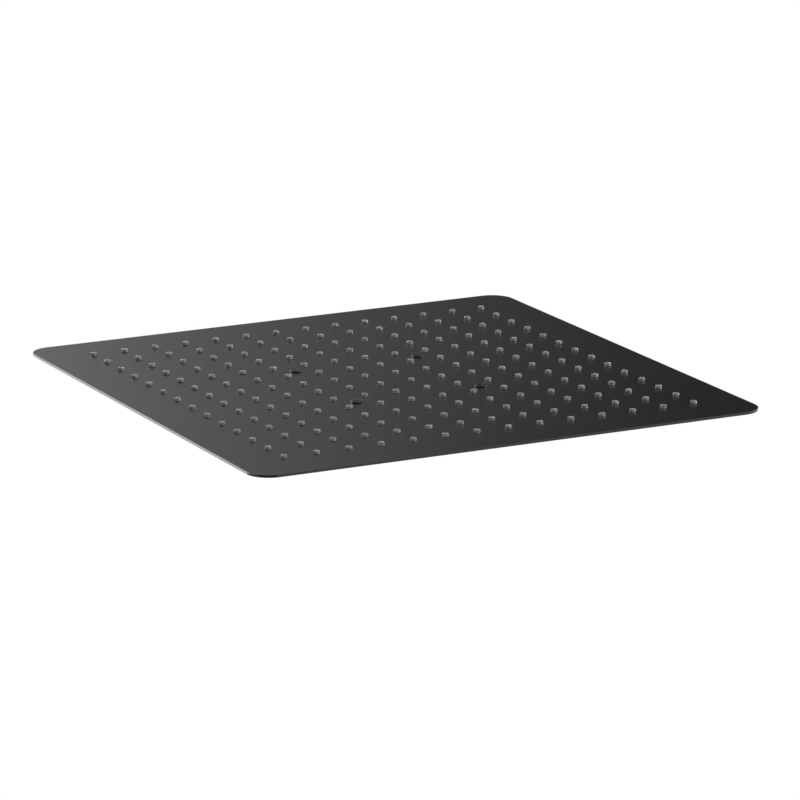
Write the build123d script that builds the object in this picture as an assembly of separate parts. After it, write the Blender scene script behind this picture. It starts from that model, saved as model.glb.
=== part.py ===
from build123d import *
import os
from math import cos, floor, radians, sin, tan

# Square rain shower head on a ball swivel. Millimetres.
# It hangs spray face down. +Z is up along the inlet, and the origin is the
# centre of the inlet's mouth, so every other height is negative.

# Spray plate: two thin sheets joined at their rims
PLATE_SIDE = 400.0
PLATE_CORNER_R = 17.0
FACE_SHEET = 1.0
BACK_SHEET = 1.0
EDGE_BREAK = 0.25

# Water chamber: a shallow pan pressed into the back sheet
RIM_WIDTH = 18.0
PAN_RISE = 6.0
PAN_WALL_RUN = 10.0
PAN_CORNER_R = 24.0
PAN_BEND_R = 4.0

# Nozzles: one silicone mat with a square field of tips
NOZZLE_PITCH = 24.9
NOZZLE_MARGIN = 38.0
NOZZLE_D = 4.8
NOZZLE_PROUD = 2.1
NOZZLE_PLAY = 0.1
NOZZLE_SIDES = 5
MAT_T = 1.0
MAT_EDGE_GAP = 8.0

# Tie screws: they hold the two sheets together against the water
SCREW_CELLS = 2
SCREW_D = 4.0
SCREW_PLAY = 0.1
SCREW_GRIP = 4.2
SCREW_HEAD_D = 9.0
SCREW_HEAD_H = 1.0
SCREW_KEY = 2.0
SCREW_KEY_DEPTH = 0.7
SCREW_SEAL_D = 8.2
SCREW_SEAL_T = 0.3
HEAD_SIDES = 12
SHANK_SIDES = 6
POST_WIDTH = 8.0
POST_GAP = 0.6

# Inlet connector: threaded socket, neck and ball in one turned piece
INLET_D = 20.955
INLET_DEPTH = 12.0
WASHER_D = 19.0
WASHER_BORE = 13.0
WASHER_T = 3.0
WASHER_PLAY = 0.1
STRAINER_T = 0.5
STRAINER_HOLE = 2.0
STRAINER_PITCH = 3.0
SOCKET_FLOOR = 3.0
CONNECTOR_WIDTH = 27.0
CONNECTOR_CHAMFER_ANGLE = 30.0
CONNECTOR_RISE = 15.0
WATERWAY_D = 10.0
NECK_WALL = 1.8
BALL_D = 22.0

# Swivel: seal below the ball, split ring above it, collar round both
JOINT_PLAY = 0.08
SEAL_WALL = 2.0
SEAL_BORE = 14.0
SEAL_LAND = 1.4
SEAL_DROP = 3.0
SEAL_SEAT_ANGLE = 40.0
RING_WALL = 3.3
RING_LOW_ANGLE = 8.0
RING_HIGH_ANGLE = 38.0
RING_SEAT_ANGLE = 23.0
RING_SLIT = 1.5
COLLAR_SEAT_ANGLE = 30.0
COLLAR_WALL = 3.4
COLLAR_FLAT = 2.0
COLLAR_LIP = 1.4
COLLAR_CHAMFER = 2.0
COLLAR_GAP = 0.8
MOUTH_PLAY = 0.4
THREAD_PLAY = 0.05

# Inlet boss on the back plate
BOSS_WALL = 2.5
BOSS_LIP = 1.0
BOSS_FLOOR = 3.0
FLANGE_D = 56.0
FLANGE_T = 2.5
FLANGE_BREAK = 0.6

# Radii worked out from the sizes above
BALL_R = BALL_D / 2
WATERWAY_R = WATERWAY_D / 2
NECK_R = WATERWAY_R + NECK_WALL
CUP_R = BALL_R + JOINT_PLAY
RING_OUTER_R = CUP_R + RING_WALL
COLLAR_SEAT_R = RING_OUTER_R + JOINT_PLAY
COLLAR_MOUTH_R = BALL_R + MOUTH_PLAY
SEAL_BORE_R = SEAL_BORE / 2
SEAL_OUTER_R = BALL_R + SEAL_WALL
POCKET_R = SEAL_OUTER_R + THREAD_PLAY
BOSS_NECK_R = POCKET_R + BOSS_WALL
COLLAR_THREAD_R = BOSS_NECK_R + THREAD_PLAY
COLLAR_OUTER_R = COLLAR_THREAD_R + COLLAR_WALL
SHANK_HOLE_R = (SCREW_D + SCREW_PLAY) / 2


def cone_height(sphere_r, angle, radius):
    """Height from the ball's centre at which a cone that touches a sphere has a given radius."""
    return (sphere_r - radius * cos(radians(angle))) / sin(radians(angle))


# Heights, from the inlet's mouth down to the nozzle tips
SOCKET_STEP_Z = -INLET_DEPTH
SOCKET_FLOOR_Z = SOCKET_STEP_Z - WASHER_T - STRAINER_T
CONNECTOR_LOW_Z = SOCKET_FLOOR_Z - SOCKET_FLOOR
BALL_Z = CONNECTOR_LOW_Z - CONNECTOR_RISE
SEAL_TOP_Z = BALL_Z - SEAL_DROP
SEAL_SEAT_LOW_Z = BALL_Z - cone_height(CUP_R, SEAL_SEAT_ANGLE, SEAL_BORE_R)
SEAL_LOW_Z = SEAL_SEAT_LOW_Z - SEAL_LAND
BOSS_TOP_Z = SEAL_TOP_Z + BOSS_LIP
PAN_TOP_Z = SEAL_LOW_Z - BOSS_FLOOR
FLANGE_TOP_Z = PAN_TOP_Z + FLANGE_T
COLLAR_LOW_Z = FLANGE_TOP_Z + COLLAR_GAP
COLLAR_SEAT_LOW_Z = BALL_Z + cone_height(COLLAR_SEAT_R, COLLAR_SEAT_ANGLE, COLLAR_THREAD_R)
COLLAR_SEAT_Z = BALL_Z + cone_height(COLLAR_SEAT_R, COLLAR_SEAT_ANGLE, COLLAR_MOUTH_R)
COLLAR_TOP_Z = COLLAR_SEAT_Z + COLLAR_LIP
RIM_TOP_Z = PAN_TOP_Z - PAN_RISE
SEAM_Z = RIM_TOP_Z - BACK_SHEET
FACE_Z = SEAM_Z - FACE_SHEET
PAN_INSIDE_Z = PAN_TOP_Z - BACK_SHEET

# Nozzle field and screws, centred on the plate
NOZZLES_A_SIDE = floor((PLATE_SIDE - 2 * NOZZLE_MARGIN) / NOZZLE_PITCH) + 1
SCREW_OFFSET = NOZZLE_PITCH * (SCREW_CELLS + 0.5 * (NOZZLES_A_SIDE % 2))
PAN_SIDE = PLATE_SIDE - 2 * RIM_WIDTH
MAT_SIDE = PAN_SIDE - 2 * MAT_EDGE_GAP
MAT_CORNER_R = PAN_CORNER_R - MAT_EDGE_GAP

CORNERS = {
    "front_left": (-SCREW_OFFSET, -SCREW_OFFSET),
    "front_right": (SCREW_OFFSET, -SCREW_OFFSET),
    "rear_left": (-SCREW_OFFSET, SCREW_OFFSET),
    "rear_right": (SCREW_OFFSET, SCREW_OFFSET),
}


def nozzle_grid():
    """Places of the nozzles over the spray face."""
    return GridLocations(NOZZLE_PITCH, NOZZLE_PITCH, NOZZLES_A_SIDE, NOZZLES_A_SIDE)


def disc(radius, low, high):
    """Upright cylinder on the inlet axis between two heights."""
    return extrude(Plane.XY.offset(low) * Circle(radius), high - low)


def hexagon(width, low, high):
    """Upright hexagonal bar on the inlet axis, with its width across flats."""
    outline = RegularPolygon(width / 2, 6, major_radius=False)
    return extrude(Plane.XY.offset(low) * outline, high - low)


def prism(radius, sides, low, high):
    """Upright bar on the inlet axis: a round piece with few sides, because it repeats."""
    return extrude(Plane.XY.offset(low) * RegularPolygon(radius, sides), high - low)


def plate_outline():
    """Outline of both sheets: a square with round corners."""
    return RectangleRounded(PLATE_SIDE, PLATE_SIDE, PLATE_CORNER_R)


def face_plate():
    """Spray face with its nozzle holes, screw holes and broken outer edges."""
    nozzle_hole = RegularPolygon((NOZZLE_D + NOZZLE_PLAY) / 2, NOZZLE_SIDES).wire()
    screw_hole = RegularPolygon(SHANK_HOLE_R, SHANK_SIDES).wire()
    holes = [place * nozzle_hole for place in nozzle_grid()]
    holes += [Pos(*spot) * screw_hole for spot in CORNERS.values()]
    plate = extrude(Plane.XY.offset(FACE_Z) * Face(plate_outline().wire(), holes), FACE_SHEET)
    return broken_rim(plate)


def broken_rim(sheet):
    """A flat sheet with both edges of its outline broken."""
    flats = sheet.faces().filter_by(Axis.Z).sort_by(Axis.Z)
    return chamfer(flats[0].outer_wire().edges() + flats[-1].outer_wire().edges(), EDGE_BREAK)


def pan_form(low):
    """Solid form of the pan, from its foot up to its flat top."""
    foot = RectangleRounded(PAN_SIDE, PAN_SIDE, PAN_CORNER_R)
    top_side = PAN_SIDE - 2 * PAN_WALL_RUN
    top = RectangleRounded(top_side, top_side, PAN_CORNER_R - PAN_WALL_RUN)
    return loft([Plane.XY.offset(low) * foot, Plane.XY.offset(low + PAN_RISE) * top], ruled=True)


def back_plate():
    """Back sheet: flat rim, raised pan with bent edges, and the hole for the boss."""
    rim = broken_rim(extrude(Plane.XY.offset(SEAM_Z) * plate_outline(), BACK_SHEET))
    form = rim + pan_form(RIM_TOP_Z)
    crown = form.faces().sort_by(Axis.Z)[-1].edges()
    inside = PAN_SIDE / 2 + RIM_WIDTH / 2
    level = form.edges().filter_by_position(Axis.Z, RIM_TOP_Z, RIM_TOP_Z)
    foot = level.filter_by(lambda edge: max(abs(edge.center().X), abs(edge.center().Y)) < inside)
    shell = fillet(crown + foot, PAN_BEND_R) - pan_form(SEAM_Z)
    return shell - disc(SEAL_BORE_R, PAN_INSIDE_Z, PAN_TOP_Z)


def nozzle_mat():
    """Silicone mat behind the face, with a tip through each hole."""
    post_hole = RegularPolygon(POST_WIDTH / 2 + POST_GAP, 6, major_radius=False).wire()
    post_holes = [Pos(*spot) * post_hole for spot in CORNERS.values()]
    outline = RectangleRounded(MAT_SIDE, MAT_SIDE, MAT_CORNER_R).wire()
    sheet = extrude(Plane.XY.offset(SEAM_Z) * Face(outline, post_holes), MAT_T)
    tip = prism(NOZZLE_D / 2, NOZZLE_SIDES, FACE_Z - NOZZLE_PROUD, SEAM_Z)
    return sheet.fuse(*[place * tip for place in nozzle_grid()], glue=True)


def tie_screw(spot):
    """Low-headed socket screw, head down, at one corner."""
    seat_z = FACE_Z - SCREW_SEAL_T
    end_z = seat_z - SCREW_HEAD_H
    head = prism(SCREW_HEAD_D / 2, HEAD_SIDES, end_z, seat_z)
    key = hexagon(SCREW_KEY, end_z, end_z + SCREW_KEY_DEPTH)
    shank = prism(SCREW_D / 2, SHANK_SIDES, seat_z, SEAM_Z + SCREW_GRIP)
    return Pos(*spot) * (head - key + shank)


def screw_seal(spot):
    """Flat seal between a screw head and the spray face."""
    low = FACE_Z - SCREW_SEAL_T
    ring = prism(SCREW_SEAL_D / 2, HEAD_SIDES, low, FACE_Z)
    return Pos(*spot) * (ring - prism(SHANK_HOLE_R, SHANK_SIDES, low, FACE_Z))


def tie_post(spot):
    """Hexagonal post between the sheets, threaded for its screw."""
    post = hexagon(POST_WIDTH, SEAM_Z, PAN_INSIDE_Z)
    bore = prism(SHANK_HOLE_R, SHANK_SIDES, SEAM_Z, SEAM_Z + SCREW_GRIP + SCREW_PLAY)
    return Pos(*spot) * (post - bore)


def turned(outline):
    """Solid of revolution about the inlet axis from a closed (radius, height) outline."""
    return revolve(Plane.XZ * make_face(outline), Axis.Z)


def on_sphere(radius, angle):
    """Point at an angle above the ball's equator, as (radius, height)."""
    return (radius * cos(radians(angle)), BALL_Z + radius * sin(radians(angle)))


def inlet_boss():
    """Boss on the back plate: flange and the neck that holds the seal."""
    outline = Polyline(
        (SEAL_BORE_R, PAN_TOP_Z),
        (FLANGE_D / 2, PAN_TOP_Z),
        (FLANGE_D / 2, FLANGE_TOP_Z - FLANGE_BREAK),
        (FLANGE_D / 2 - FLANGE_BREAK, FLANGE_TOP_Z),
        (BOSS_NECK_R, FLANGE_TOP_Z),
        (BOSS_NECK_R, BOSS_TOP_Z),
        (POCKET_R, BOSS_TOP_Z),
        (POCKET_R, SEAL_LOW_Z),
        (SEAL_BORE_R, SEAL_LOW_Z),
        close=True,
    )
    return turned(outline)


def ball_seal():
    """Seal ring in the boss, with a tapered seat that the ball rests in."""
    top_r = (CUP_R - SEAL_DROP * sin(radians(SEAL_SEAT_ANGLE))) / cos(radians(SEAL_SEAT_ANGLE))
    outline = Polyline(
        (top_r, SEAL_TOP_Z),
        (SEAL_OUTER_R, SEAL_TOP_Z),
        (SEAL_OUTER_R, SEAL_LOW_Z),
        (SEAL_BORE_R, SEAL_LOW_Z),
        (SEAL_BORE_R, SEAL_SEAT_LOW_Z),
        close=True,
    )
    return turned(outline)


def friction_ring():
    """Split ring above the ball, tapered inside and round outside, so that it can slide."""
    ends = (RING_LOW_ANGLE, RING_HIGH_ANGLE)
    tapers = [on_sphere(CUP_R / cos(radians(end - RING_SEAT_ANGLE)), end) for end in ends]
    rounds = [on_sphere(RING_OUTER_R, end) for end in ends]
    crown = on_sphere(RING_OUTER_R, sum(ends) / 2)
    outline = Polyline(rounds[0], tapers[0], tapers[1], rounds[1])
    outline += ThreePointArc(rounds[1], crown, rounds[0])
    slit = Pos(RING_OUTER_R, 0, BALL_Z) * Box(2 * RING_OUTER_R, RING_SLIT, 2 * RING_OUTER_R)
    return turned(outline) - slit


def swivel_collar():
    """Ring nut with a tapered seat over the split ring, and two spanner flats."""
    outline = Polyline(
        (COLLAR_MOUTH_R, COLLAR_SEAT_Z),
        (COLLAR_THREAD_R, COLLAR_SEAT_LOW_Z),
        (COLLAR_THREAD_R, COLLAR_LOW_Z),
        (COLLAR_OUTER_R, COLLAR_LOW_Z),
        (COLLAR_OUTER_R, COLLAR_TOP_Z - COLLAR_CHAMFER),
        (COLLAR_OUTER_R - COLLAR_CHAMFER, COLLAR_TOP_Z),
        (COLLAR_MOUTH_R + COLLAR_LIP, COLLAR_TOP_Z),
        close=True,
    )
    width = 2 * (COLLAR_OUTER_R - COLLAR_FLAT)
    flats = Rectangle(width, 2 * COLLAR_OUTER_R)
    return turned(outline) & extrude(Plane.XY.offset(COLLAR_LOW_Z) * flats, COLLAR_TOP_Z - COLLAR_LOW_Z)


def spanner_hexagon():
    """Hexagonal body of the connector, turned off at both ends as a nut is."""
    flat_r = CONNECTOR_WIDTH / 2
    corner_r = flat_r / cos(radians(30)) + EDGE_BREAK
    slope = (corner_r - flat_r) * tan(radians(CONNECTOR_CHAMFER_ANGLE))
    outline = Polyline(
        (0, CONNECTOR_LOW_Z),
        (flat_r, CONNECTOR_LOW_Z),
        (corner_r, CONNECTOR_LOW_Z + slope),
        (corner_r, -slope),
        (flat_r, 0),
        (0, 0),
        close=True,
    )
    return hexagon(CONNECTOR_WIDTH, CONNECTOR_LOW_Z, 0) & turned(outline)


def ball_connector():
    """Hexagonal inlet socket, neck and bored ball."""
    body = spanner_hexagon()
    body += disc(NECK_R, BALL_Z, CONNECTOR_LOW_Z)
    body += Pos(0, 0, BALL_Z) * Sphere(BALL_R)
    body -= disc(INLET_D / 2, SOCKET_STEP_Z, 0)
    body -= disc((WASHER_D + WASHER_PLAY) / 2, SOCKET_FLOOR_Z, SOCKET_STEP_Z)
    return body - disc(WATERWAY_R, BALL_Z - BALL_R, SOCKET_FLOOR_Z)


def inlet_washer():
    """Rubber washer that the pipe's end presses on."""
    ring = Circle(WASHER_D / 2) - Circle(WASHER_BORE / 2)
    return extrude(Plane.XY.offset(SOCKET_FLOOR_Z + STRAINER_T) * ring, WASHER_T)


def strainer():
    """Thin screen under the washer, with square holes over the waterway."""
    across = floor(WATERWAY_D / STRAINER_PITCH)
    hole = Rectangle(STRAINER_HOLE, STRAINER_HOLE)
    holes = [place * hole for place in GridLocations(STRAINER_PITCH, STRAINER_PITCH, across, across)]
    return extrude(Plane.XY.offset(SOCKET_FLOOR_Z) * (Circle(WASHER_D / 2) - holes), STRAINER_T)


def all_nodes():
    """Every piece of the shower head, by name."""
    nodes = {
        "face_plate": face_plate(),
        "back_plate": back_plate(),
        "nozzle_mat": nozzle_mat(),
        "inlet_boss": inlet_boss(),
        "ball_seal": ball_seal(),
        "friction_ring": friction_ring(),
        "swivel_collar": swivel_collar(),
        "ball_connector": ball_connector(),
        "inlet_washer": inlet_washer(),
        "strainer": strainer(),
    }
    for corner, spot in CORNERS.items():
        nodes[f"tie_screw_{corner}"] = tie_screw(spot)
        nodes[f"screw_seal_{corner}"] = screw_seal(spot)
        nodes[f"tie_post_{corner}"] = tie_post(spot)
    return nodes


os.makedirs("parts", exist_ok=True)
for name, piece in all_nodes().items():
    export_step(piece, f"parts/{name}.step")
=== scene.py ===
import logging
import math
from collections.abc import Sequence
from dataclasses import dataclass
from enum import Enum

import bmesh
import bpy
from bmesh.types import BMEdge, BMesh
from bpy.types import Material, Mesh, Node, NodeSocket, NodeTree, Object
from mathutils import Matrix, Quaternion, Vector


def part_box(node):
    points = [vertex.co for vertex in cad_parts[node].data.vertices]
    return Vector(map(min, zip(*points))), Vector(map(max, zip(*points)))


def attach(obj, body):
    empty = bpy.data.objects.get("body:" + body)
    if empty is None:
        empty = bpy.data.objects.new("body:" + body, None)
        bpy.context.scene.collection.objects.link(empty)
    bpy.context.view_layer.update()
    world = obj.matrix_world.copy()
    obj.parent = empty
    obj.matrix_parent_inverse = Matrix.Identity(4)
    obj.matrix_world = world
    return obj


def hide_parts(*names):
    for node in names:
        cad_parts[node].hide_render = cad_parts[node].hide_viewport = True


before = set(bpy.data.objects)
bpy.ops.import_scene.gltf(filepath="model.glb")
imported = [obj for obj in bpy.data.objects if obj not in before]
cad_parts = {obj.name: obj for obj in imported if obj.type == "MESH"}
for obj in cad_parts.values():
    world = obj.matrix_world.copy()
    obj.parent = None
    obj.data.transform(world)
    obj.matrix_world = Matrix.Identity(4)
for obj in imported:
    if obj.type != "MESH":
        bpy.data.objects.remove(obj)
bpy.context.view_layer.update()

# A square rain shower head on a ball swivel, dressed for its studio picture.
# Sizes are in millimetres in the fields below and metres in the meshes. The
# head hangs face down, and the origin is the centre of the inlet's mouth.

MM = 0.001
LOG = logging.getLogger("shower_head")

# Points closer than this are one point, in metres
MERGE = 1e-6
# How far pieces that grow from one another overlap
OVERLAP = 0.02
# Faces across a small round
ROUND_STEPS = 3
# Edges that turn by more degrees are shaded as hard, unless a piece has its own limit
HARD_EDGE = 35.0

# The picture's own directions in the model's frame, for a camera at this azimuth
PICTURE_TURN = 26.983
TURN = math.radians(PICTURE_TURN)
PICTURE_AWAY = Vector((-math.sin(TURN), math.cos(TURN), 0))
PICTURE_UP = Vector((0, 0, -1))
PICTURE_RIGHT = PICTURE_AWAY.cross(PICTURE_UP)
WHITE = (1.0, 1.0, 1.0, 1.0)

Colour = tuple[float, float, float]
Place = tuple[float, float, float]
Outline = list[tuple[float, float]]
Values = dict[str, object]


class Body(Enum):
    """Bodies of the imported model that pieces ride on."""

    CONNECTOR = "connector"
    HEAD = "head"


class Slot(Enum):
    """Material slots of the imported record."""

    SATIN_BLACK = "satin_black"
    BLACK_FITTINGS = "black_fittings"
    BLACK_SCREWS = "black_screws"
    GREY_SILICONE = "grey_silicone"
    SEAL_RUBBER = "seal_rubber"
    RING_PLASTIC = "ring_plastic"
    BRIGHT_STEEL = "bright_steel"


class Corner(Enum):
    """Corners of the square that the tie screws stand on."""

    FRONT_LEFT = "front_left"
    FRONT_RIGHT = "front_right"
    REAR_LEFT = "rear_left"
    REAR_RIGHT = "rear_right"


class Socket(Enum):
    """Kinds of node-group socket that the script makes."""

    NUMBER = "NodeSocketFloat"
    WHOLE = "NodeSocketInt"
    VECTOR = "NodeSocketVector"
    GEOMETRY = "NodeSocketGeometry"
    MATERIAL = "NodeSocketMaterial"


# Mesh helpers


def new_piece(name: str, mesh: Mesh) -> Object:
    """Makes an object at the origin and links it to the scene.

    Args:
        name: The piece's name.
        mesh: Its mesh.

    Returns:
        The object.
    """
    piece = bpy.data.objects.new(name, mesh)
    bpy.context.scene.collection.objects.link(piece)
    return piece


def mesh_from(name: str, shape: BMesh, hard_edge: float = HARD_EDGE) -> Mesh:
    """Turns a bmesh into a smooth-shaded mesh with its hard edges marked.

    Args:
        name: The mesh's name.
        shape: The bmesh, which is freed.
        hard_edge: Angle in degrees above which an edge is hard.

    Returns:
        The mesh.
    """
    mesh = bpy.data.meshes.new(name)
    shape.to_mesh(mesh)
    shape.free()
    mesh.shade_smooth()
    mesh.set_sharp_from_angle(angle=math.radians(hard_edge))
    return mesh


def even_piece(name: str, shape: BMesh, hard_edge: float = HARD_EDGE) -> Object:
    """Makes a piece with normals weighted by area, so flats stay flat beside small rounds.

    Args:
        name: The piece's name.
        shape: The bmesh, which is freed.
        hard_edge: Angle in degrees above which an edge is hard.

    Returns:
        The object.
    """
    piece = new_piece(name, mesh_from(name, shape, hard_edge))
    piece.modifiers.new("even_normals", "WEIGHTED_NORMAL").keep_sharp = True
    return piece


def flat_card(name: str, corners: Sequence[Vector], material: Material) -> Object:
    """Makes a card of one face for the studio.

    Args:
        name: The card's name.
        corners: Its corners, in metres.
        material: Its material.

    Returns:
        The object.
    """
    shape = bmesh.new()
    shape.faces.new([shape.verts.new(corner) for corner in corners])
    card = new_piece(name, mesh_from(name, shape))
    card.data.materials.append(material)
    return card


def loft(shape: BMesh, loops: Sequence[Sequence[Vector]], closed: bool) -> None:
    """Skins loops of equal length.

    Args:
        shape: The bmesh that gets the faces.
        loops: Points of each loop, in metres.
        closed: Joins the last loop to the first. Otherwise both ends are capped.
    """
    rings = [[shape.verts.new(spot) for spot in loop] for loop in loops]
    faces = []
    if not closed:
        faces += [shape.faces.new(rings[0]), shape.faces.new(rings[-1])]
    after = rings[1:] + rings[:1] if closed else rings[1:]
    for low, high in zip(rings, after):
        for k in range(len(low)):
            n = (k + 1) % len(low)
            faces.append(shape.faces.new((low[k], low[n], high[n], high[k])))
    bmesh.ops.recalc_face_normals(shape, faces=faces)


def lathe(shape: BMesh, outline: Outline, segments: int) -> None:
    """Adds a solid of revolution about the upright axis, closed at both ends.

    Args:
        shape: The bmesh that gets it.
        outline: Radius and height of each ring, from one end to the other.
        segments: Faces round the axis.
    """
    turns = [2 * math.pi * k / segments for k in range(segments)]
    loops = []
    for r, z in outline:
        loops.append([Vector((r * math.cos(a), r * math.sin(a), z)) * MM for a in turns])
    loft(shape, loops, closed=False)


def rounded_square(half: float, radius: float, steps: int) -> Outline:
    """Points round a square with round corners.

    Args:
        half: Half of its side.
        radius: Corner radius.
        steps: Faces round each corner.

    Returns:
        The points, anticlockwise.
    """
    points = []
    reach = (half - radius) * math.sqrt(2)
    for quarter in range(4):
        mid = math.pi / 4 + quarter * math.pi / 2
        for k in range(steps + 1):
            angle = quarter * math.pi / 2 + k * math.pi / 2 / steps
            x = reach * math.cos(mid) + radius * math.cos(angle)
            y = reach * math.sin(mid) + radius * math.sin(angle)
            points.append((x, y))
    return points


def at_height(outline: Outline, z: float) -> list[Vector]:
    """Lays a level outline at a height, in metres."""
    return [Vector((x, y, z)) * MM for x, y in outline]


def quarter_turn(start: float) -> list[float]:
    """Angles of a small round's points in radians, from a start in degrees."""
    return [math.radians(start + 90.0 * k / ROUND_STEPS) for k in range(ROUND_STEPS + 1)]


def hard_edges(shape: BMesh, angle: float) -> list[BMEdge]:
    """Lists the edges of a shape that turn by more than an angle in degrees."""
    return [e for e in shape.edges if e.calc_face_angle(0.0) > math.radians(angle)]


def round_edges(shape: BMesh, edges: list[BMEdge], width: float) -> None:
    """Rounds some edges of a shape by a width in millimetres."""
    sizes = {"offset": width * MM, "segments": ROUND_STEPS, "profile": 0.5}
    bmesh.ops.bevel(shape, geom=edges, affect="EDGES", **sizes)


# Node helpers


def new_group(
    name: str, kind: str, inputs: dict[str, Socket], outputs: dict[str, Socket]
) -> NodeTree:
    """Makes a node group with named sockets.

    Args:
        name: The group's name.
        kind: Blender's name for the tree type.
        inputs: Kinds of input socket by name.
        outputs: Kinds of output socket by name.

    Returns:
        The group, still empty.
    """
    tree = bpy.data.node_groups.new(name, kind)
    for way, sockets in (("INPUT", inputs), ("OUTPUT", outputs)):
        for socket, socket_kind in sockets.items():
            tree.interface.new_socket(socket, in_out=way, socket_type=socket_kind.value)
    return tree


class Graph:
    """A node tree with short ways to add and join nodes."""

    def __init__(self, tree: NodeTree) -> None:
        """Takes a tree and clears it."""
        self.tree = tree
        tree.nodes.clear()

    def add(self, kind: str, **values: object) -> Node:
        """Adds a node.

        Args:
            kind: Blender's name for the node type.
            values: Properties of the node, by name.

        Returns:
            The new node.
        """
        node = self.tree.nodes.new(kind)
        for name, value in values.items():
            setattr(node, name, value)
        return node

    def plug(self, socket: NodeSocket, value: object) -> None:
        """Sets one input, or joins it to an output.

        Args:
            socket: The input.
            value: Plain value or output socket.
        """
        if isinstance(value, NodeSocket):
            self.tree.links.new(value, socket)
        else:
            socket.default_value = value

    def feed(self, node: Node, **inputs: object) -> Node:
        """Sets or joins a node's inputs.

        Args:
            node: The node that takes them.
            inputs: Values or output sockets, by input name with _ for a space.

        Returns:
            The same node.
        """
        for name, value in inputs.items():
            self.plug(node.inputs[name.replace("_", " ")], value)
        return node

    def math(self, operation: str, first: object, second: object) -> NodeSocket:
        """Adds one sum.

        Args:
            operation: Blender's name for the sum.
            first: Number or socket.
            second: Number or socket.

        Returns:
            The socket with the result.
        """
        node = self.add("ShaderNodeMath", operation=operation)
        for socket, value in zip(node.inputs, (first, second)):
            self.plug(socket, value)
        return node.outputs[0]

    def remap(self, value: NodeSocket, **limits: float) -> NodeSocket:
        """Moves a value from one range to another, with the limits by input name."""
        return self.feed(self.add("ShaderNodeMapRange"), Value=value, **limits).outputs["Result"]

    def effect(self, group: NodeTree, place: NodeSocket, size: float) -> NodeSocket:
        """Adds a shared effect, with a pattern of a size in millimetres."""
        node = self.add("ShaderNodeGroup", node_tree=group)
        return self.feed(node, Vector=place, Size=size * MM).outputs[0]


class ShapeGraph(Graph):
    """A Geometry Nodes tree that makes a shape and gives it a material."""

    KINDS = {int: Socket.WHOLE, float: Socket.NUMBER, Material: Socket.MATERIAL}

    def __init__(self, name: str, values: Values) -> None:
        """Makes the tree, with a named input for each value.

        Args:
            name: The tree's name.
            values: Values of the inputs by name, with one for the material.
        """
        shape = {"Geometry": Socket.GEOMETRY}
        inputs = {label: self.KINDS[type(value)] for label, value in values.items()}
        super().__init__(new_group(name, "GeometryNodeTree", shape | inputs, shape))
        self.values = values
        self.given = self.add("NodeGroupInput").outputs

    def grid(self, count: NodeSocket, pitch: NodeSocket) -> NodeSocket:
        """Adds the points of a square grid.

        Args:
            count: Points along each side.
            pitch: Distance from one point to the next.

        Returns:
            Socket with the points.
        """
        span = self.math("MULTIPLY", self.math("SUBTRACT", count, 1.0), pitch)
        grid = self.add("GeometryNodeMeshGrid")
        self.feed(grid, Size_X=span, Size_Y=span, Vertices_X=count, Vertices_Y=count)
        return grid.outputs["Mesh"]

    def join(self, *shapes: NodeSocket) -> NodeSocket:
        """Puts shapes together.

        Args:
            shapes: Sockets with the shapes.

        Returns:
            Socket with all of them.
        """
        both = self.add("GeometryNodeJoinGeometry")
        for shape in shapes:
            self.plug(both.inputs[0], shape)
        return both.outputs[0]

    def lift(self, shape: NodeSocket, height: NodeSocket) -> NodeSocket:
        """Moves a shape up.

        Args:
            shape: Socket with the shape.
            height: Socket with the height.

        Returns:
            Socket with the moved shape.
        """
        way = self.feed(self.add("ShaderNodeCombineXYZ"), Z=height)
        placed = self.add("GeometryNodeTransform")
        return self.feed(placed, Geometry=shape, Translation=way.outputs[0]).outputs[0]

    def finish(self, shape: NodeSocket) -> None:
        """Ends the tree in real faces with its material.

        Args:
            shape: Socket with the shape.
        """
        real = self.feed(self.add("GeometryNodeRealizeInstances"), Geometry=shape)
        dressed = self.add("GeometryNodeSetMaterial")
        self.feed(dressed, Geometry=real.outputs[0], Material=self.given["Material"])
        self.feed(self.add("NodeGroupOutput"), Geometry=dressed.outputs[0])

    def grow(self, name: str, base: Mesh) -> Mesh:
        """Runs the tree on a mesh.

        Args:
            name: Name of the mesh that comes out.
            base: The mesh that goes in.

        Returns:
            The result as a plain mesh.
        """
        holder = new_piece(name, base)
        modifier = holder.modifiers.new(name, "NODES")
        modifier.node_group = self.tree
        for item in self.tree.interface.items_tree:
            if item.in_out == "INPUT" and item.name in self.values:
                modifier[item.identifier] = self.values[item.name]
        view = bpy.context.evaluated_depsgraph_get()
        mesh = bpy.data.meshes.new_from_object(holder.evaluated_get(view))
        mesh.name = name
        holder.modifiers.clear()
        bpy.data.objects.remove(holder)
        return mesh


def grid_tree(name: str, values: Values) -> ShapeGraph:
    """Builds a tree that sets its own mesh on a square grid, each turned at random.

    Args:
        name: The tree's name.
        values: Its count, pitch, height, seed and material.

    Returns:
        The tree's graph.
    """
    graph = ShapeGraph(name, values)
    given = graph.given
    points = graph.lift(graph.grid(given["Count"], given["Pitch"]), given["Height"])
    turn = graph.add("FunctionNodeRandomValue", data_type="FLOAT")
    graph.feed(turn, Seed=given["Seed"])
    turn.inputs[3].default_value = 2 * math.pi
    spin = graph.feed(graph.add("ShaderNodeCombineXYZ"), Z=turn.outputs[1])
    spread = graph.add("GeometryNodeInstanceOnPoints")
    graph.feed(spread, Points=points, Instance=given["Geometry"], Rotation=spin.outputs[0])
    graph.finish(spread.outputs[0])
    return graph


def new_material(name: str) -> tuple[Material, Graph]:
    """Makes a material without nodes.

    Args:
        name: The material's name.

    Returns:
        The material and its graph.
    """
    material = bpy.data.materials.new(name)
    material.use_nodes = True
    return material, Graph(material.node_tree)


# Finishes


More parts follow.
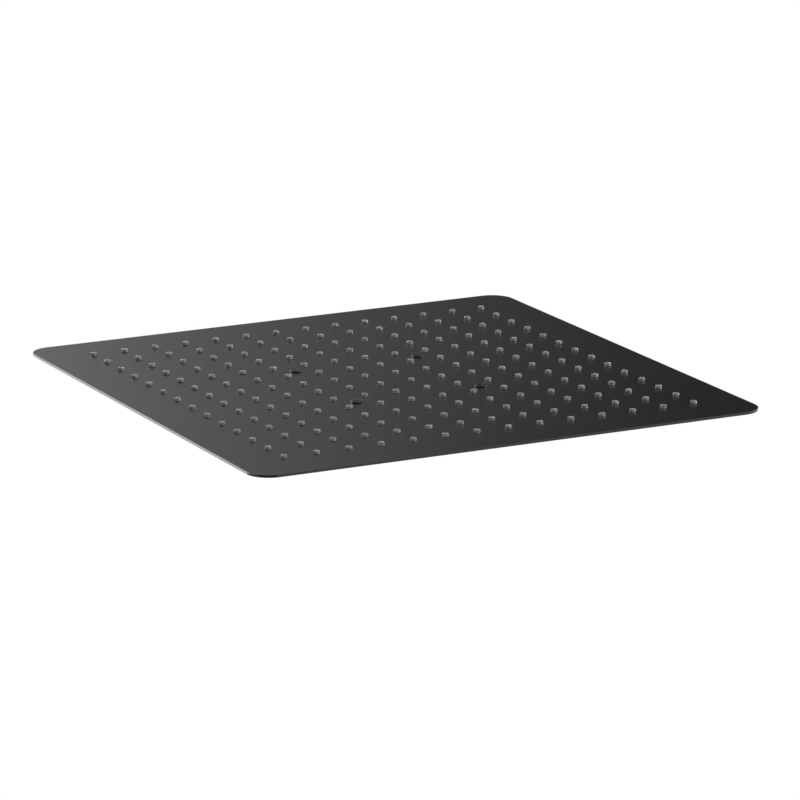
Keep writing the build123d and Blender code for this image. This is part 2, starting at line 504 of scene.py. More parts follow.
class Effects:
    """Shader node groups that several finishes share."""

    FINE_SCALE = 3.0
    FINE_HEIGHT = 0.4

    def __init__(self) -> None:
        """Builds each group once."""
        self.cloud = self._cloud()
        self.grain = self._grain()

    @staticmethod
    def _start(name: str, result: str) -> tuple[Graph, NodeSocket, NodeSocket]:
        """Starts a group that takes a place and the size of its pattern.

        Args:
            name: The group's name.
            result: Name of its output.

        Returns:
            The graph, the socket with the place and the one with the pattern's scale.
        """
        inputs = {"Vector": Socket.VECTOR, "Size": Socket.NUMBER}
        graph = Graph(new_group(name, "ShaderNodeTree", inputs, {result: Socket.NUMBER}))
        given = graph.add("NodeGroupInput").outputs
        return graph, given["Vector"], graph.math("DIVIDE", 1.0, given["Size"])

    def _cloud(self) -> NodeTree:
        """Builds slow, soft unevenness over a surface, as one mask from 0 to 1.

        Returns:
            The group.
        """
        graph, place, scale = self._start("surface_cloud", "Mask")
        noise = graph.add("ShaderNodeTexNoise")
        graph.feed(noise, Vector=place, Scale=scale, Detail=3.0, Roughness=0.55)
        mask = graph.remap(noise.outputs["Fac"], From_Min=0.3, From_Max=0.7)
        graph.feed(graph.add("NodeGroupOutput"), Mask=mask)
        return graph.tree

    def _grain(self) -> NodeTree:
        """Builds the fine skin of a coat or moulding: rounded pimples over finer noise.

        Returns:
            The group.
        """
        graph, place, scale = self._start("fine_grain", "Height")
        pimples = graph.add("ShaderNodeTexVoronoi", feature="SMOOTH_F1")
        graph.feed(pimples, Vector=place, Scale=scale, Smoothness=1.0)
        fine = graph.add("ShaderNodeTexNoise")
        fine_scale = graph.math("MULTIPLY", scale, self.FINE_SCALE)
        graph.feed(fine, Vector=place, Scale=fine_scale, Detail=2.0)
        small = graph.math("MULTIPLY", fine.outputs["Fac"], self.FINE_HEIGHT)
        height = graph.math("ADD", pimples.outputs["Distance"], small)
        graph.feed(graph.add("NodeGroupOutput"), Height=height)
        return graph.tree


@dataclass(frozen=True)
class Finish:
    """One finish: the shader's plain values and how far its surface effects go."""

    slot: Slot
    colour: Colour
    roughness: float
    cloud_size: float
    grain_size: float
    grain_depth: float
    cloud_colour: float = 0.1
    cloud_roughness: float = 0.05
    metallic: float = 0.0
    ior: float = 1.5
    specular: float = 0.5
    subsurface: float = 0.0
    depth_of_light: float = 0.0
    sheen: float = 0.0
    coat: float = 0.0
    coat_roughness: float = 0.1

    def material(self, effects: Effects) -> Material:
        """Builds the finish as a material.

        Args:
            effects: The shared node groups.

        Returns:
            The material, named after its slot.
        """
        material, graph = new_material(f"{self.slot.value}_finish")
        place = graph.add("ShaderNodeTexCoord").outputs["Object"]
        mask = graph.effect(effects.cloud, place, self.cloud_size)
        grain = graph.effect(effects.grain, place, self.grain_size)
        skin = graph.add("ShaderNodeBump")
        graph.feed(skin, Height=grain, Distance=self.grain_depth * MM)
        low, high = self.roughness - self.cloud_roughness, self.roughness + self.cloud_roughness
        shader = graph.add("ShaderNodeBsdfPrincipled")
        self._set_plain(shader)
        graph.feed(
            shader,
            Base_Color=self._colour(graph, mask),
            Roughness=graph.remap(mask, To_Min=low, To_Max=high),
            Normal=skin.outputs["Normal"],
        )
        graph.feed(graph.add("ShaderNodeOutputMaterial"), Surface=shader.outputs["BSDF"])
        return material

    def _set_plain(self, shader: Node) -> None:
        """Sets the shader's values that are the same all over.

        Args:
            shader: The shader's node.
        """
        plain = {
            "Metallic": self.metallic,
            "IOR": self.ior,
            "Specular IOR Level": self.specular,
            "Subsurface Weight": self.subsurface,
            "Subsurface Scale": self.depth_of_light * MM,
            "Subsurface Radius": (1.0, 1.0, 1.0),
            "Sheen Weight": self.sheen,
            "Coat Weight": self.coat,
            "Coat Roughness": self.coat_roughness,
        }
        for name, value in plain.items():
            shader.inputs[name].default_value = value

    def _colour(self, graph: Graph, mask: NodeSocket) -> NodeSocket:
        """Adds a colour that drifts with the mask between a darker and a lighter shade.

        Args:
            graph: The material's graph.
            mask: Socket with the mask.

        Returns:
            Socket with the colour.
        """
        mix = graph.feed(graph.add("ShaderNodeMix", data_type="RGBA"), Factor=mask)
        shades = (1 - self.cloud_colour, 1 + self.cloud_colour)
        for socket, shade in zip((mix.inputs[6], mix.inputs[7]), shades):
            socket.default_value = (*(min(1.0, c * shade) for c in self.colour), 1.0)
        return mix.outputs[2]


FINISHES = (
    Finish(
        Slot.SATIN_BLACK,
        colour=(0.02, 0.02, 0.0205),
        roughness=0.36,
        specular=0.1,
        coat=0.8,
        coat_roughness=0.12,
        cloud_size=90.0,
        cloud_colour=0.05,
        cloud_roughness=0.015,
        grain_size=0.45,
        grain_depth=0.0006,
    ),
    Finish(
        Slot.BLACK_FITTINGS,
        colour=(0.02, 0.02, 0.0205),
        roughness=0.3,
        cloud_size=15.0,
        grain_size=0.35,
        grain_depth=0.0012,
    ),
    Finish(
        Slot.BLACK_SCREWS,
        colour=(0.012, 0.012, 0.012),
        roughness=0.4,
        specular=0.1,
        coat=0.8,
        coat_roughness=0.12,
        cloud_size=4.0,
        grain_size=0.2,
        grain_depth=0.0015,
    ),
    Finish(
        Slot.GREY_SILICONE,
        colour=(0.264, 0.264, 0.268),
        roughness=0.58,
        ior=1.41,
        subsurface=1.0,
        depth_of_light=2.0,
        cloud_size=6.0,
        cloud_colour=0.06,
        grain_size=0.25,
        grain_depth=0.003,
    ),
    Finish(
        Slot.SEAL_RUBBER,
        colour=(0.018, 0.018, 0.018),
        roughness=0.62,
        sheen=0.15,
        cloud_size=5.0,
        cloud_colour=0.2,
        grain_size=0.3,
        grain_depth=0.01,
    ),
    Finish(
        Slot.RING_PLASTIC,
        colour=(0.62, 0.6, 0.54),
        roughness=0.42,
        subsurface=0.15,
        depth_of_light=1.0,
        cloud_size=8.0,
        grain_size=0.3,
        grain_depth=0.006,
    ),
    Finish(
        Slot.BRIGHT_STEEL,
        colour=(0.6, 0.6, 0.59),
        roughness=0.26,
        metallic=1.0,
        cloud_size=5.0,
        grain_size=0.15,
        grain_depth=0.002,
    ),
)


class Palette:
    """The finishes as materials, and how a piece is dressed in one."""

    def __init__(self) -> None:
        """Builds the shared effects and every finish."""
        effects = Effects()
        self.materials = {finish.slot: finish.material(effects) for finish in FINISHES}

    def dress_node(self, node: str, slot: Slot) -> None:
        """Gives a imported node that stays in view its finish.

        Args:
            node: The node's name.
            slot: Its finish.
        """
        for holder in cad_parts[node].material_slots:
            holder.material = self.materials[slot]
        LOG.info("%s keeps its packed shape, in %s", node, slot.value)

    def settle(self, piece: Object, slot: Slot, body: Body, nodes: Sequence[str]) -> None:
        """Dresses a piece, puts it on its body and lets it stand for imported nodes.

        Args:
            piece: The finished piece.
            slot: Its finish.
            body: The body it moves with.
            nodes: The nodes it stands for.
        """
        piece.data.materials.clear()
        piece.data.materials.append(self.materials[slot])
        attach(piece, body.value)
        if nodes:
            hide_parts(*nodes)
        LOG.info("%s: %d faces on %s", piece.name, len(piece.data.polygons), body.value)


# The head


@dataclass
class PlateSizes:
    """Sizes that the two sheets, the nozzle field and the tie screws share."""

    side: float = 400.0
    corner: float = 17.0
    corner_steps: int = 16
    sheet: float = 1.0
    edge_round: float = 0.15
    face_z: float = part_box("face_plate")[0].z / MM
    seam_z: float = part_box("face_plate")[1].z / MM
    pitch: float = 24.9
    nozzles: int = 14
    screw_offset: float = 49.8
    screws: int = 2


@dataclass
class SprayFace:
    """The perforated spray face."""

    plate: PlateSizes
    hole: float = 4.9
    hole_steps: int = 14
    screw_hole: float = 4.1
    rim_angle: float = 60.0

    def build(self, palette: Palette) -> None:
        """Punches the sheet, rounds its outer edges and settles it.

        Args:
            palette: The finishes.
        """
        plate = self.plate
        values = {
            "Side": plate.side * MM,
            "Corner": plate.corner * MM,
            "Thickness": plate.sheet * MM,
            "Height": plate.face_z * MM,
            "Pitch": plate.pitch * MM,
            "Hole Radius": self.hole / 2 * MM,
            "Screw Pitch": 2 * plate.screw_offset * MM,
            "Screw Radius": self.screw_hole / 2 * MM,
            "Corner Steps": plate.corner_steps,
            "Holes": plate.nozzles,
            "Screws": plate.screws,
            "Hole Steps": self.hole_steps,
            "Material": palette.materials[Slot.SATIN_BLACK],
        }
        start = bpy.data.meshes.new("sheet_start")
        shape = bmesh.new()
        shape.from_mesh(self._tree(values).grow("spray_face", start))
        rim = (plate.side / 2 - plate.corner) * MM
        hard = hard_edges(shape, self.rim_angle)
        outer = [e for e in hard if all(max(map(abs, v.co.xy)) > rim for v in e.verts)]
        round_edges(shape, outer, plate.edge_round)
        piece = even_piece("spray_face", shape)
        palette.settle(piece, Slot.SATIN_BLACK, Body.HEAD, ["face_plate"])

    def _tree(self, values: Values) -> ShapeGraph:
        """Builds the tree that punches a sheet with a field of holes.

        Args:
            values: Values of the tree's inputs.

        Returns:
            The tree's graph.
        """
        graph = ShapeGraph("punched_sheet", values)
        given = graph.given
        square = graph.add("GeometryNodeCurvePrimitiveQuadrilateral")
        graph.feed(square, Width=given["Side"], Height=given["Side"])
        outline = graph.add("GeometryNodeFilletCurve", mode="POLY")
        graph.feed(outline, Curve=square.outputs[0], Radius=given["Corner"])
        graph.feed(outline, Count=given["Corner Steps"])
        fields = (("Holes", "Pitch", "Hole Radius"), ("Screws", "Screw Pitch", "Screw Radius"))
        holes = [self._holes(graph, *(given[name] for name in names)) for names in fields]
        edges = graph.join(outline.outputs[0], *holes)
        fill = graph.add("GeometryNodeFillCurve", mode="TRIANGLES")
        sheet = graph.feed(fill, Curve=edges).outputs[0]
        raised = graph.add("GeometryNodeExtrudeMesh")
        graph.feed(raised, Mesh=sheet, Offset_Scale=given["Thickness"], Individual=False)
        under = graph.feed(graph.add("GeometryNodeFlipFaces"), Mesh=sheet)
        both = graph.join(raised.outputs["Mesh"], under.outputs[0])
        whole = graph.add("GeometryNodeMergeByDistance")
        graph.feed(whole, Geometry=both, Distance=MERGE)
        graph.finish(graph.lift(whole.outputs[0], given["Height"]))
        return graph

    @staticmethod
    def _holes(
        graph: ShapeGraph, count: NodeSocket, pitch: NodeSocket, radius: NodeSocket
    ) -> NodeSocket:
        """Adds a square field of circles.

        Args:
            graph: The tree.
            count: Circles along each side.
            pitch: Distance from one centre to the next.
            radius: Radius of each circle.

        Returns:
            Socket with the circles as curves.
        """
        circle = graph.add("GeometryNodeCurvePrimitiveCircle")
        graph.feed(circle, Resolution=graph.given["Hole Steps"], Radius=radius)
        spread = graph.add("GeometryNodeInstanceOnPoints")
        graph.feed(spread, Points=graph.grid(count, pitch), Instance=circle.outputs[0])
        real = graph.add("GeometryNodeRealizeInstances")
        return graph.feed(real, Geometry=spread.outputs[0]).outputs[0]


@dataclass
class BackSheet:
    """The back sheet, with the pan that makes the water chamber pressed into it."""

    plate: PlateSizes
    rim_width: float = 18.0
    rise: float = 6.0
    run: float = 10.0
    pan_corner: float = 24.0
    bend: float = 4.0
    bend_steps: int = 5
    bore: float = 7.0
    bore_spread: float = 0.9
    hard_edge: float = 50.0

    def build(self, palette: Palette) -> None:
        """Skins the sheet from its outer rim to the bore, both sides, and settles it.

        Args:
            palette: The finishes.
        """
        shape = bmesh.new()
        upper = self._section()
        sheet = self.plate.sheet
        lower = [(inset, z - sheet) for inset, z in reversed(upper)]
        loops = [self._loop(inset, z) for inset, z in lower + self._rim() + upper]
        top = upper[-1][1]
        loops += [self._bore_loop(top), self._bore_loop(top - sheet)]
        loft(shape, loops, closed=True)
        piece = even_piece("back_sheet", shape, self.hard_edge)
        palette.settle(piece, Slot.SATIN_BLACK, Body.HEAD, ["back_plate"])

    def _rim(self) -> Outline:
        """Draws the outer edge of the sheet, rounded above and below.

        Returns:
            Inset and height of each point.
        """
        r, low = self.plate.edge_round, self.plate.seam_z
        points = []
        for centre, start in ((low + r, -90.0), (low + self.plate.sheet - r, 0.0)):
            for a in quarter_turn(start):
                points.append((r - r * math.cos(a), centre + r * math.sin(a)))
        return points

    def _section(self) -> Outline:
        """Draws the upper face of rim, bends, wall and pan top.

        Returns:
            Inset and height of each point.
        """
        slope = math.atan2(self.rise, self.run)
        tangent = self.bend * math.tan(slope / 2)
        low = self.plate.seam_z + self.plate.sheet
        high = low + self.rise
        foot, crown = self.rim_width, self.rim_width + self.run
        points = []
        for k in range(self.bend_steps + 1):
            a = slope * k / self.bend_steps
            across = foot - tangent + self.bend * math.sin(a)
            points.append((across, low + self.bend * (1 - math.cos(a))))
        for k in range(self.bend_steps + 1):
            a = slope * (1 - k / self.bend_steps)
            across = crown + tangent - self.bend * math.sin(a)
            points.append((across, high - self.bend * (1 - math.cos(a))))
        return points

    def _corner_at(self, inset: float) -> float:
        """Works out the corner radius at a distance in from the outline.

        Args:
            inset: The distance.

        Returns:
            The radius.
        """
        if inset < self.rim_width:
            share = inset / self.rim_width
            return self.plate.corner + share * (self.pan_corner - self.plate.corner)
        return self.pan_corner - (inset - self.rim_width)

    def _loop(self, inset: float, z: float) -> list[Vector]:
        """Lays out the sheet's points at one inset and height, in metres."""
        half, radius = self.plate.side / 2 - inset, self._corner_at(inset)
        return at_height(rounded_square(half, radius, self.plate.corner_steps), z)

    def _bore_loop(self, z: float) -> list[Vector]:
        """Lays out the points of the waterway's bore, in step with the sheet's loops.

        Args:
            z: The height.

        Returns:
            The points, in metres.
        """
        lift = Vector((0, 0, z * MM))
        ways = rounded_square(1.0, self.bore_spread, self.plate.corner_steps)
        return [Vector((x, y, 0)).normalized() * self.bore * MM + lift for x, y in ways]


@dataclass
class NozzleField:
    """The silicone mat: its sheet behind the face and a tip through every hole."""

    plate: PlateSizes
    mat_side: float = 348.0
    mat_corner: float = 16.0
    mat_corner_steps: int = 6
    mat_thickness: float = 1.0
    root: float = 2.38
    tip: float = 2.34
    proud: float = 1.95
    lip: float = 0.15
    jet: float = 0.35
    jet_taper: float = 0.7
    jet_depth: float = 1.0
    segments: int = 14
    seed: int = 7
    hard_edge: float = 50.0

    def build(self, palette: Palette) -> None:
        """Moulds one tip, repeats it, adds the mat's sheet and settles the piece.

        Args:
            palette: The finishes.
        """
        plate = self.plate
        values = {
            "Count": plate.nozzles,
            "Pitch": plate.pitch * MM,
            "Height": plate.face_z * MM,
            "Seed": self.seed,
            "Material": palette.materials[Slot.GREY_SILICONE],
        }
        shape = bmesh.new()
        lathe(shape, self._outline(), self.segments)
        tip = mesh_from("nozzle_tip", shape, self.hard_edge)
        shape = bmesh.new()
        shape.from_mesh(grid_tree("nozzle_field", values).grow("nozzle_tips", tip))
        outline = rounded_square(self.mat_side / 2, self.mat_corner, self.mat_corner_steps)
        heights = (plate.seam_z, plate.seam_z + self.mat_thickness)
        loft(shape, [at_height(outline, z) for z in heights], closed=False)
        piece = new_piece("nozzle_field", mesh_from("nozzle_field", shape, self.hard_edge))
        palette.settle(piece, Slot.GREY_SILICONE, Body.HEAD, ["nozzle_mat"])

    def _outline(self) -> Outline:
        """Draws one tip, from its root at the mat to the floor of its jet.

        Returns:
            Radius and height of each ring.
        """
        end = -self.proud
        return [
            (self.root, self.plate.sheet + OVERLAP),
            (self.tip, end + self.lip),
            (self.tip - self.lip, end),
            (self.jet, end),
            (self.jet * self.jet_taper, end + self.jet_depth),
        ]


@dataclass
class TieScrews:
    """Four low socket screws that tie the sheets together, with their seals and posts."""

    plate: PlateSizes
    head: float = 4.5
    head_height: float = 1.0
    edge_round: float = 0.2
    seal: float = 0.3
    recess: float = 4.15
    skirt_gap: float = 0.02
    key: float = 2.2
    key_depth: float = 0.8
    key_mouth: float = 1.08
    key_chamfer: float = 0.05
    shank: float = 2.0
    shank_taper: float = 0.4
    shank_point: float = 0.5
    grip: float = 4.2
    segments: int = 36
    seed: int = 3
    hard_edge: float = 40.0

    def build(self, palette: Palette) -> None:
        """Turns one screw, repeats it on its corners and dresses what it holds.

        Args:
            palette: The finishes.
        """
        values = {
            "Count": self.plate.screws,
            "Pitch": 2 * self.plate.screw_offset * MM,
            "Height": (self.plate.face_z - self.seal) * MM,
            "Seed": self.seed,
            "Material": palette.materials[Slot.BLACK_SCREWS],
        }
        shape = bmesh.new()
        lathe(shape, self._outline(), self.segments)
        self._cut_key(shape)
        screw = mesh_from("tie_screw", shape, self.hard_edge)
        mesh = grid_tree("screw_square", values).grow("tie_screws", screw)
        nodes = [f"tie_screw_{corner.value}" for corner in Corner]
        palette.settle(new_piece("tie_screws", mesh), Slot.BLACK_SCREWS, Body.HEAD, nodes)
        for corner in Corner:
            palette.dress_node(f"screw_seal_{corner.value}", Slot.SEAL_RUBBER)
            palette.dress_node(f"tie_post_{corner.value}", Slot.BRIGHT_STEEL)

    def _outline(self) -> Outline:
        """Draws one screw, from the end of its shank to the floor of its socket.

        Returns:
            Radius and height of each ring.
        """
        end, r, shank = -self.head_height, self.edge_round, self.shank
        top = self.plate.sheet + self.grip + self.seal
        skirt = self.seal - self.skirt_gap
        rings = [(shank - self.shank_taper, top), (shank, top - self.shank_point), (shank, 0.0)]
        rings += [(self.recess, 0.0), (self.recess, skirt), (self.head, skirt)]
        for a in quarter_turn(0.0):
            rings.append((self.head - r + r * math.cos(a), end + r - r * math.sin(a)))
        socket = self.key / math.sqrt(3)
        rings += [(socket * self.key_mouth, end), (socket, end + self.key_chamfer)]
        return rings + [(socket, end + self.key_depth)]

    def _cut_key(self, shape: BMesh) -> None:
        """Squeezes the floor of the round socket into a hexagon.

        Args:
            shape: The screw.
        """
        floor = (self.key_depth - self.head_height) * MM
        for v in shape.verts:
            flat = Vector((v.co.x, v.co.y))
            if abs(v.co.z - floor) < MERGE:
                turn = math.atan2(flat.y, flat.x) % (math.pi / 3) - math.pi / 6
                flat *= (self.key / 2 * MM) / math.cos(turn) / flat.length
                v.co.x, v.co.y = flat


# The swivel


@dataclass(frozen=True)
class EasedPiece:
    """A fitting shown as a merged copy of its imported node, with its hard edges rounded.

    Faces that meet within the flat angle are one face, and edges that turn by
    more than the round angle are rounded. Both angles are in degrees.
    """

    node: str
    name: str
    slot: Slot
    body: Body
    edge_round: float = 0.3
    flat_angle: float = 0.6
    round_angle: float = 28.0

    def build(self, palette: Palette) -> None:
        """Rounds the copy's edges and settles it in the node's place.

        Args:
            palette: The finishes.
        """
        shape = bmesh.new()
        shape.from_mesh(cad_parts[self.node].data)
        bmesh.ops.remove_doubles(shape, verts=shape.verts, dist=MERGE)
        flat = math.radians(self.flat_angle)
        bmesh.ops.dissolve_limit(shape, angle_limit=flat, verts=shape.verts, edges=shape.edges)
        round_edges(shape, hard_edges(shape, self.round_angle), self.edge_round)
        palette.settle(even_piece(self.name, shape), self.slot, self.body, [self.node])


FITTINGS = Slot.BLACK_FITTINGS
EASED = (
    EasedPiece("inlet_boss", "boss_with_eased_edges", FITTINGS, Body.HEAD),
    EasedPiece("swivel_collar", "collar_with_eased_edges", FITTINGS, Body.HEAD, edge_round=0.1),
    EasedPiece("ball_connector", "connector_with_eased_edges", FITTINGS, Body.CONNECTOR),
    EasedPiece("inlet_washer", "washer_with_eased_edges", Slot.SEAL_RUBBER, Body.CONNECTOR),
)


@dataclass
class Swivel:
    """Boss, collar and inlet connector, with what shows in the inlet.

    Root and crest are the widths of the thread's ridge as shares of its pitch.
    """

    thread_radius: float = 10.4775
    thread_depth: float = 1.1
    thread_pitch: float = 1.814
    thread_length: float = 10.2
    thread_top: float = -0.9
    thread_root: float = 0.86
    thread_crest: float = 0.18
    thread_steps: int = 48

    def build(self, palette: Palette) -> None:
        """Dresses every piece of the swivel, in order from the plate up.

        Args:
            palette: The finishes.
        """
        for fitting in EASED:
            fitting.build(palette)
        self._thread(palette)
        palette.dress_node("ball_seal", Slot.SEAL_RUBBER)
        palette.dress_node("friction_ring", Slot.RING_PLASTIC)
        palette.dress_node("strainer", Slot.BRIGHT_STEEL)

    def _thread(self, palette: Palette) -> None:
        """Winds the inlet's thread as a ridge on the socket's wall.

        Args:
            palette: The finishes.
        """
        values = {
            "Radius": (self.thread_radius + OVERLAP) * MM,
            "Depth": self.thread_depth * MM,
            "Pitch": self.thread_pitch * MM,
            "Length": self.thread_length * MM,
            "Top": self.thread_top * MM,
            "Root": self.thread_root,
            "Crest": self.thread_crest,
            "Steps": self.thread_steps,
            "Material": palette.materials[FITTINGS],
        }
        start = bpy.data.meshes.new("thread_start")
        piece = new_piece("inlet_thread", self._tree(values).grow("inlet_thread", start))
        palette.settle(piece, FITTINGS, Body.CONNECTOR, [])

    @staticmethod
    def _tree(values: Values) -> ShapeGraph:
        """Builds the tree that winds a ridge along a helix.

        Args:
            values: Values of the tree's inputs.

        Returns:
            The tree's graph.
        """
        graph = ShapeGraph("wound_ridge", values)
        given = graph.given
        helix = graph.feed(
            graph.add("GeometryNodeCurveSpiral"),
            Resolution=given["Steps"],
            Rotations=graph.math("DIVIDE", given["Length"], given["Pitch"]),
            Start_Radius=given["Radius"],
            End_Radius=given["Radius"],
            Height=given["Length"],
        )
        upright = graph.add("GeometryNodeSetCurveNormal", mode="Z_UP")
        graph.feed(upright, Curve=helix.outputs[0])
        ridge = graph.feed(
            graph.add("GeometryNodeCurvePrimitiveQuadrilateral", mode="TRAPEZOID"),
            Height=given["Depth"],
            Bottom_Width=graph.math("MULTIPLY", given["Pitch"], given["Root"]),
            Top_Width=graph.math("MULTIPLY", given["Pitch"], given["Crest"]),
            Offset=0.0,
        )
        wound = graph.add("GeometryNodeCurveToMesh")
        graph.feed(wound, Curve=upright.outputs[0], Profile_Curve=ridge.outputs[0], Fill_Caps=True)
        start = graph.math("SUBTRACT", given["Top"], given["Length"])
        graph.finish(graph.lift(wound.outputs[0], start))
        return graph


# Studio


@dataclass(frozen=True)
class SoftBox:
    """A square lamp that looks at the spray face, placed as one sees the picture.

    Turn is in degrees from straight behind the head towards the picture's left,
    and rise is in degrees above the spray face as the picture shows it. Distance
    and side are in metres. A lamp that isn't mirrored lights the head without
    showing in its coat.
    """

    name: str
    turn: float
    rise: float
    power: float
    distance: float = 1.25
    side: float = 0.7
    mirrored: bool = True

    def build(self, centre: Vector) -> None:
        """Hangs the lamp and turns it to the face.

        Args:
            centre: Centre of the spray face, in metres.
        """
        turn, rise = math.radians(self.turn), math.radians(self.rise)
        level = PICTURE_AWAY * math.cos(turn) - PICTURE_RIGHT * math.sin(turn)
        way = level * math.cos(rise) + PICTURE_UP * math.sin(rise)
        lamp = bpy.data.lights.new(self.name, "AREA")
        lamp.shape = "SQUARE"
        lamp.size = self.side
        lamp.energy = self.power
        holder = bpy.data.objects.new(self.name, lamp)
        holder.visible_glossy = self.mirrored
        holder.location = centre + way * self.distance
        holder.rotation_mode = "QUATERNION"
        holder.rotation_quaternion = (-way).to_track_quat("-Z", "Y")
        bpy.context.scene.collection.objects.link(holder)


LAMPS = (
    SoftBox("key", turn=45.0, rise=25.0, power=5.8),
    SoftBox("left_fill", turn=60.0, rise=35.0, power=2.6),
    SoftBox("rear_fill", turn=15.0, rise=42.0, power=2.2, distance=1.6, side=0.9),
    SoftBox("right_fill", turn=-60.0, rise=20.0, power=5.3),
    SoftBox("right_side", turn=-90.0, rise=8.0, power=9.0, mirrored=False),
    SoftBox("front_edge", turn=-110.0, rise=8.0, power=2.2, mirrored=False),
    SoftBox("camera_fill", turn=180.0, rise=35.0, power=8.5, distance=2.0, side=1.0),
    SoftBox("left_edge", turn=60.0, rise=-20.0, power=3.0),
    SoftBox("inlet_side", turn=0.0, rise=-80.0, power=30.0, distance=2.2, side=2.4),
)


@dataclass(frozen=True)
class Flag:
    """A dark upright card that the head mirrors, out of the camera's sight, in metres.

    Away is how far behind the head it stands, so it is negative for a card on
    the camera's side. A card with a glow is a graded one: it shines at its left
    end, as one sees the picture, and fades to dark over its reach.
    """

    name: str
    right: float
    away: float
    up: float
    width: float
    height: float
    shade: float = 0.01
    glow: float = 0.0
    reach: float = 1.0
    fade: float = 3.0

    def build(self, centre: Vector) -> None:
        """Stands the card.

        Args:
            centre: Centre of the spray face, in metres.
        """
        middle = centre + PICTURE_RIGHT * self.right + PICTURE_AWAY * self.away
        middle += PICTURE_UP * self.up
        across, along = PICTURE_RIGHT * self.width / 2, PICTURE_UP * self.height / 2
        corners = (-across - along, across - along, across + along, along - across)
        cloth = self._cloth((middle - across).dot(PICTURE_RIGHT))
        card = flat_card(self.name, [middle + corner for corner in corners], cloth)
        card.visible_camera = False
        card.visible_diffuse = False

    def _cloth(self, left_end: float) -> Material:
        """Makes the card's dark cloth, with its glow where it has one.

        Args:
            left_end: Where its left end is along the picture's right, in metres.

        Returns:
            The material.
        """
        material, graph = new_material(f"{self.name}_cloth")
        along = graph.add("ShaderNodeVectorMath", operation="DOT_PRODUCT")
        graph.plug(along.inputs[0], graph.add("ShaderNodeTexCoord").outputs["Object"])
        graph.plug(along.inputs[1], PICTURE_RIGHT)
        ends = {"From_Min": left_end, "From_Max": left_end + self.reach}
        left = graph.remap(along.outputs["Value"], **ends, To_Min=1.0, To_Max=0.0)
        strength = graph.math("MULTIPLY", graph.math("POWER", left, self.fade), self.glow)
        cloth = graph.feed(graph.add("ShaderNodeBsdfDiffuse"), Color=(self.shade,) * 3 + (1.0,))
        light = graph.feed(graph.add("ShaderNodeEmission"), Color=WHITE, Strength=strength)
        both = graph.add("ShaderNodeAddShader")
        for source, socket in zip((cloth, light), both.inputs):
            graph.plug(socket, source.outputs[0])
        graph.feed(graph.add("ShaderNodeOutputMaterial"), Surface=both.outputs[0])
        return material


FLAGS = (
    Flag("rear_flag", right=0.6, away=1.6, up=0.95, width=3.4, height=2.3, glow=1.52, reach=1.9),
    Flag("front_flag", right=-1.65, away=-2.6, up=0.2, width=6.7, height=2.5),
)


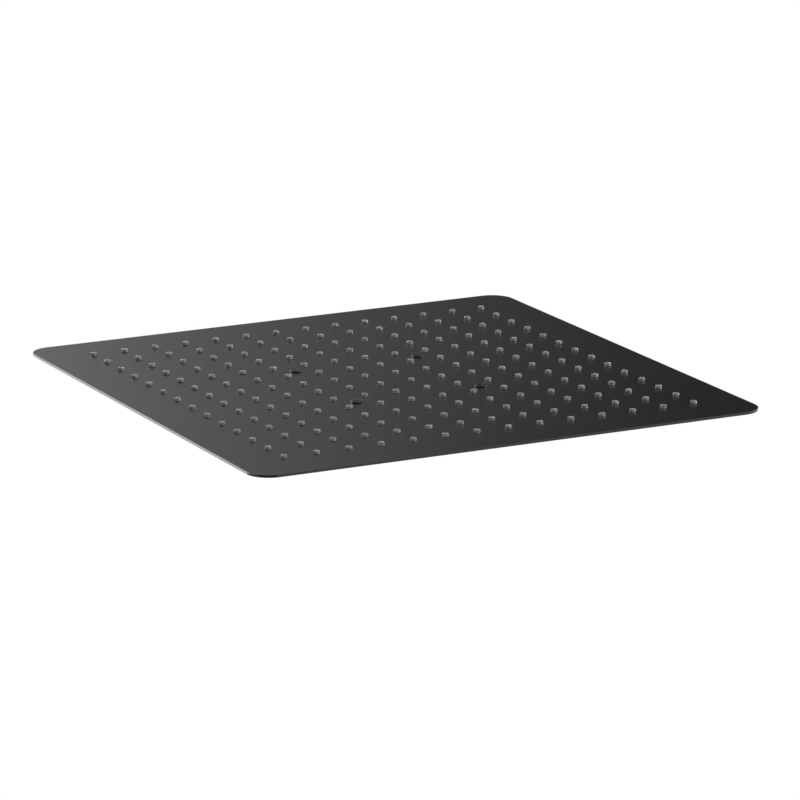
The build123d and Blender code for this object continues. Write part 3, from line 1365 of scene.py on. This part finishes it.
@dataclass
class Studio:
    """Floor, white surround, flags and soft lamps, in metres."""

    floor_z: float = -4.4
    floor_side: float = 120.0
    floor_colour: float = 0.85
    ambient: float = 0.085

    def build(self, centre: Vector) -> None:
        """Sets up the whole studio.

        Args:
            centre: Centre of the spray face, in metres.
        """
        bpy.context.scene.view_settings.view_transform = "Standard"
        self._world()
        self._floor()
        for stand in FLAGS + LAMPS:
            stand.build(centre)

    @staticmethod
    def _mixed(graph: Graph, lit: Node, seen: Node) -> NodeSocket:
        """Joins a surface that lights the head and the white that the camera sees.

        The camera sees it directly, mirrored or through something clear.

        Args:
            graph: The material's or the world's graph.
            lit: Shader for light that falls on the head.
            seen: Shader for what the camera sees.

        Returns:
            The joined shader's socket.
        """
        rays = graph.add("ShaderNodeLightPath").outputs
        mirrored = graph.math("MAXIMUM", rays["Is Camera Ray"], rays["Is Glossy Ray"])
        in_view = graph.math("MAXIMUM", mirrored, rays["Is Transmission Ray"])
        mix = graph.add("ShaderNodeMixShader")
        for source, socket in zip((in_view, lit.outputs[0], seen.outputs[0]), mix.inputs):
            graph.plug(socket, source)
        return mix.outputs[0]

    def _world(self) -> None:
        """White surround that lights softly and looks plain white."""
        world = bpy.data.worlds.new("white_surround")
        bpy.context.scene.world = world
        world.use_nodes = True
        graph = Graph(world.node_tree)
        soft = graph.feed(graph.add("ShaderNodeBackground"), Color=WHITE, Strength=self.ambient)
        white = graph.feed(graph.add("ShaderNodeBackground"), Color=WHITE, Strength=1.0)
        graph.feed(graph.add("ShaderNodeOutputWorld"), Surface=self._mixed(graph, soft, white))

    def _floor(self) -> None:
        """Wide pale floor far below the head."""
        material, graph = new_material("pale_floor")
        pale = (self.floor_colour,) * 3 + (1.0,)
        paint = graph.feed(graph.add("ShaderNodeBsdfDiffuse"), Color=pale)
        white = graph.feed(graph.add("ShaderNodeEmission"), Color=WHITE, Strength=1.0)
        surface = self._mixed(graph, paint, white)
        graph.feed(graph.add("ShaderNodeOutputMaterial"), Surface=surface)
        half = self.floor_side / 2
        ways = ((-half, -half), (half, -half), (half, half), (-half, half))
        floor = flat_card("floor", [Vector((x, y, self.floor_z)) for x, y in ways], material)


@dataclass
class PhotoCamera:
    """The picture's camera: from low down, with the head shown turned over.

    Angles are in degrees, lens and sensor in millimetres and the rest in metres.
    """

    azimuth: float = PICTURE_TURN
    elevation: float = -14.551
    distance: float = 3.6477
    target: Place = (-0.0061, -0.0073, 0.0149)
    lens: float = 226.27
    sensor: float = 36.0
    nearest: float = 0.05
    farthest: float = 500.0

    def build(self, centre: Vector) -> None:
        """Stands the camera off the spray face.

        Args:
            centre: Centre of the spray face, in metres.
        """
        data = bpy.data.cameras.new("photo_camera")
        data.lens, data.sensor_width = self.lens, self.sensor
        data.clip_start, data.clip_end = self.nearest, self.farthest
        camera = bpy.data.objects.new("photo_camera", data)
        a, e = math.radians(self.azimuth), math.radians(self.elevation)
        back = Vector((math.sin(a) * math.cos(e), -math.cos(a) * math.cos(e), math.sin(e)))
        aim = centre + Vector(self.target)
        camera.location = aim + back * self.distance
        camera.rotation_mode = "QUATERNION"
        half_turn = Quaternion((0.0, 0.0, 1.0), math.pi)
        camera.rotation_quaternion = (-back).to_track_quat("-Z", "Y") @ half_turn
        bpy.context.scene.collection.objects.link(camera)
        bpy.context.scene.camera = camera


def main() -> None:
    """Builds the head, the swivel, the studio and the camera in order."""
    logging.basicConfig(level=logging.INFO, format="%(name)s: %(message)s")
    palette = Palette()
    plate = PlateSizes()
    SprayFace(plate).build(palette)
    BackSheet(plate).build(palette)
    NozzleField(plate).build(palette)
    TieScrews(plate).build(palette)
    Swivel().build(palette)
    centre = Vector((0.0, 0.0, plate.face_z * MM))
    Studio().build(centre)
    PhotoCamera().build(centre)


if __name__ == "__main__":
    main()
